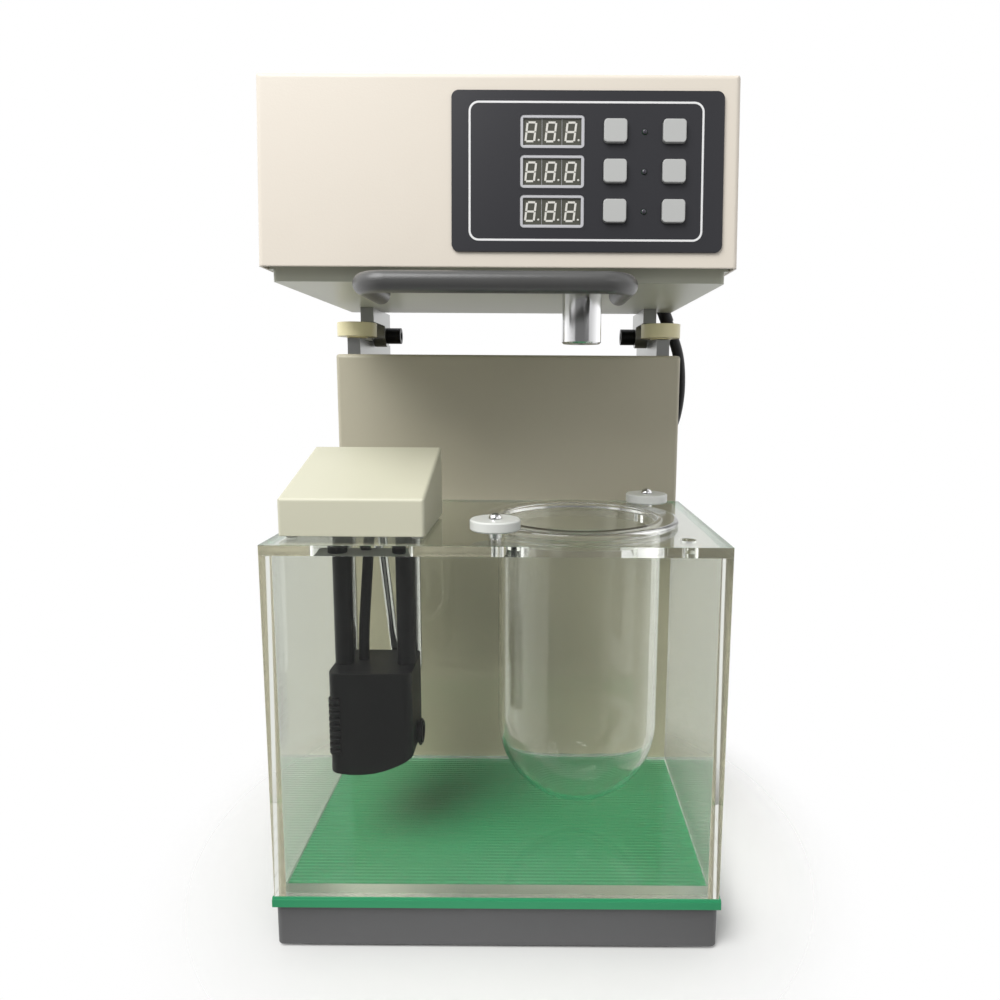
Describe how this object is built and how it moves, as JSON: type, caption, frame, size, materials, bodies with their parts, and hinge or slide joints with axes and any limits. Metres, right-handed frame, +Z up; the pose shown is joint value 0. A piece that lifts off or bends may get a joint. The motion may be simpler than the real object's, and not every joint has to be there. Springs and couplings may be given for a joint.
{
  "type": "dissolution tester",
  "caption": "Bench dissolution tester: clear water bath with a round-bottomed glass vessel, lift-out heater and pump, and a drive head on a column that tilts back.",
  "frame": {"origin": "middle of the footprint, on the bench", "axes": "+X to the right seen from the front, +Y to the rear, +Z up"},
  "size_m": [0.2838, 0.3178, 0.5076],
  "materials": {
    "paint_cream": "satin",
    "paint_grey": "satin",
    "rubber_black": "matte",
    "rubber_green": "matte",
    "aluminium": "satin",
    "steel": "brushed",
    "steel_black": "satin",
    "nylon": "matte",
    "plastic_black": "matte",
    "plastic_cream": "satin",
    "plastic_grey": "matte",
    "plastic_silver": "matte",
    "acrylic": "clear",
    "frosted": "frosted",
    "glass": "clear",
    "panel_film": "satin",
    "board": "matte",
    "core_iron": "rough"
  },
  "bodies": {
    "base": {"base_tray": "paint_grey", "base_bottom_plate": "paint_grey", "rubber_feet": "rubber_black", "rubber_mat": "rubber_green", "column_shell": "paint_cream", "column_back_panel": "paint_cream", "back_panel_screws": "steel", "hinge_rails": "aluminium", "pivot_screws": "steel_black", "level_studs": "steel", "power_inlet": "plastic_black", "switch_bezel": "plastic_black", "transformer": "core_iron", "power_board": "board", "bath_walls": "acrylic", "bath_floor": "acrylic", "bath_lid": "acrylic", "vessel": "glass", "clamp_screws": "steel", "clamp_spacers": "steel", "heater_cover": "plastic_cream", "heater_carrier": "plastic_grey", "pump_tubes": "plastic_black", "pump_body": "plastic_black", "pump_grille": "plastic_black", "pump_outlet": "plastic_black", "heater_element": "steel", "temperature_probe": "steel", "pump_cable": "rubber_black", "column_gland": "rubber_black"},
    "head": {"head_hood": "paint_cream", "head_plate": "paint_cream", "handle": "paint_grey", "head_screws": "steel", "head_brackets": "aluminium", "control_panel": "panel_film", "digit_displays": "plastic_silver", "display_board": "board", "motor": "steel", "drive_belt": "rubber_black", "spindle_bearings": "steel", "bearing_housing": "aluminium", "head_gland": "rubber_black", "head_cable": "rubber_black"},
    "spindle": {"spindle_shaft": "steel", "spindle_pulley": "aluminium", "chuck": "steel"},
    "motor_rotor": {"motor_pulley": "aluminium"},
    "button_1_body": {"button_1": "plastic_grey"},
    "button_2_body": {"button_2": "plastic_grey"},
    "button_3_body": {"button_3": "plastic_grey"},
    "button_4_body": {"button_4": "plastic_grey"},
    "button_5_body": {"button_5": "plastic_grey"},
    "button_6_body": {"button_6": "plastic_grey"},
    "power_rocker_body": {"power_rocker": "plastic_black"},
    "level_disc_left_body": {"level_disc_left": "nylon"},
    "level_disc_right_body": {"level_disc_right": "nylon"},
    "clamp_disc_front_body": {"clamp_disc_front": "frosted"},
    "clamp_disc_rear_body": {"clamp_disc_rear": "frosted"},
    "pump_impeller_body": {"pump_impeller": "plastic_grey"}
  },
  "joints": [
    {"name": "head_tilt", "type": "hinge", "parent": "base", "child": "head", "pos_m": [0, 0.0816, 0.3777], "axis": [-1, 0, 0], "range_deg": [0, 80], "deforming": ["head_cable"]},
    {"name": "spindle_spin", "type": "hinge", "parent": "head", "child": "spindle", "pos_m": [0.0505, -0.0634, 0.43], "axis": [0, 0, 1], "continuous": true},
    {"name": "motor_spin", "type": "hinge", "parent": "head", "child": "motor_rotor", "pos_m": [-0.026, -0.0294, 0.455], "axis": [0, 0, 1], "continuous": true},
    {"name": "button_1_press", "type": "slide", "parent": "head", "child": "button_1_body", "axis": [0, 0.9971, -0.0767], "range_m": [0, 0.001], "stiffness_N_per_m": 300},
    {"name": "button_2_press", "type": "slide", "parent": "head", "child": "button_2_body", "axis": [0, 0.9971, -0.0767], "range_m": [0, 0.001], "stiffness_N_per_m": 300},
    {"name": "button_3_press", "type": "slide", "parent": "head", "child": "button_3_body", "axis": [0, 0.9971, -0.0767], "range_m": [0, 0.001], "stiffness_N_per_m": 300},
    {"name": "button_4_press", "type": "slide", "parent": "head", "child": "button_4_body", "axis": [0, 0.9971, -0.0767], "range_m": [0, 0.001], "stiffness_N_per_m": 300},
    {"name": "button_5_press", "type": "slide", "parent": "head", "child": "button_5_body", "axis": [0, 0.9971, -0.0767], "range_m": [0, 0.001], "stiffness_N_per_m": 300},
    {"name": "button_6_press", "type": "slide", "parent": "head", "child": "button_6_body", "axis": [0, 0.9971, -0.0767], "range_m": [0, 0.001], "stiffness_N_per_m": 300},
    {"name": "mains_rocker", "type": "hinge", "parent": "base", "child": "power_rocker_body", "pos_m": [-0.024, 0.1559, 0.074], "axis": [-1, 0, 0], "range_deg": [0, 16]},
    {"name": "level_left_turn", "type": "hinge", "parent": "base", "child": "level_disc_left_body", "pos_m": [-0.1182, 0.0396, 0.38], "axis": [0, 0, 1], "range_deg": [-180, 180]},
    {"name": "level_right_turn", "type": "hinge", "parent": "base", "child": "level_disc_right_body", "pos_m": [0.1182, 0.0396, 0.38], "axis": [0, 0, 1], "range_deg": [-180, 180]},
    {"name": "clamp_front_turn", "type": "hinge", "parent": "base", "child": "clamp_disc_front_body", "pos_m": [-0.00183, -0.11573, 0.256], "axis": [0, 0, 1], "range_deg": [-180, 180]},
    {"name": "clamp_rear_turn", "type": "hinge", "parent": "base", "child": "clamp_disc_rear_body", "pos_m": [0.10283, -0.01107, 0.256], "axis": [0, 0, 1], "range_deg": [-180, 180]},
    {"name": "impeller_spin", "type": "hinge", "parent": "base", "child": "pump_impeller_body", "pos_m": [-0.076, -0.0834, 0.1115], "axis": [1, 0, 0], "continuous": true}
  ],
  "couplings": [
    {"joint": "motor_spin", "follows": "spindle_spin", "ratio": 2}
  ]
}
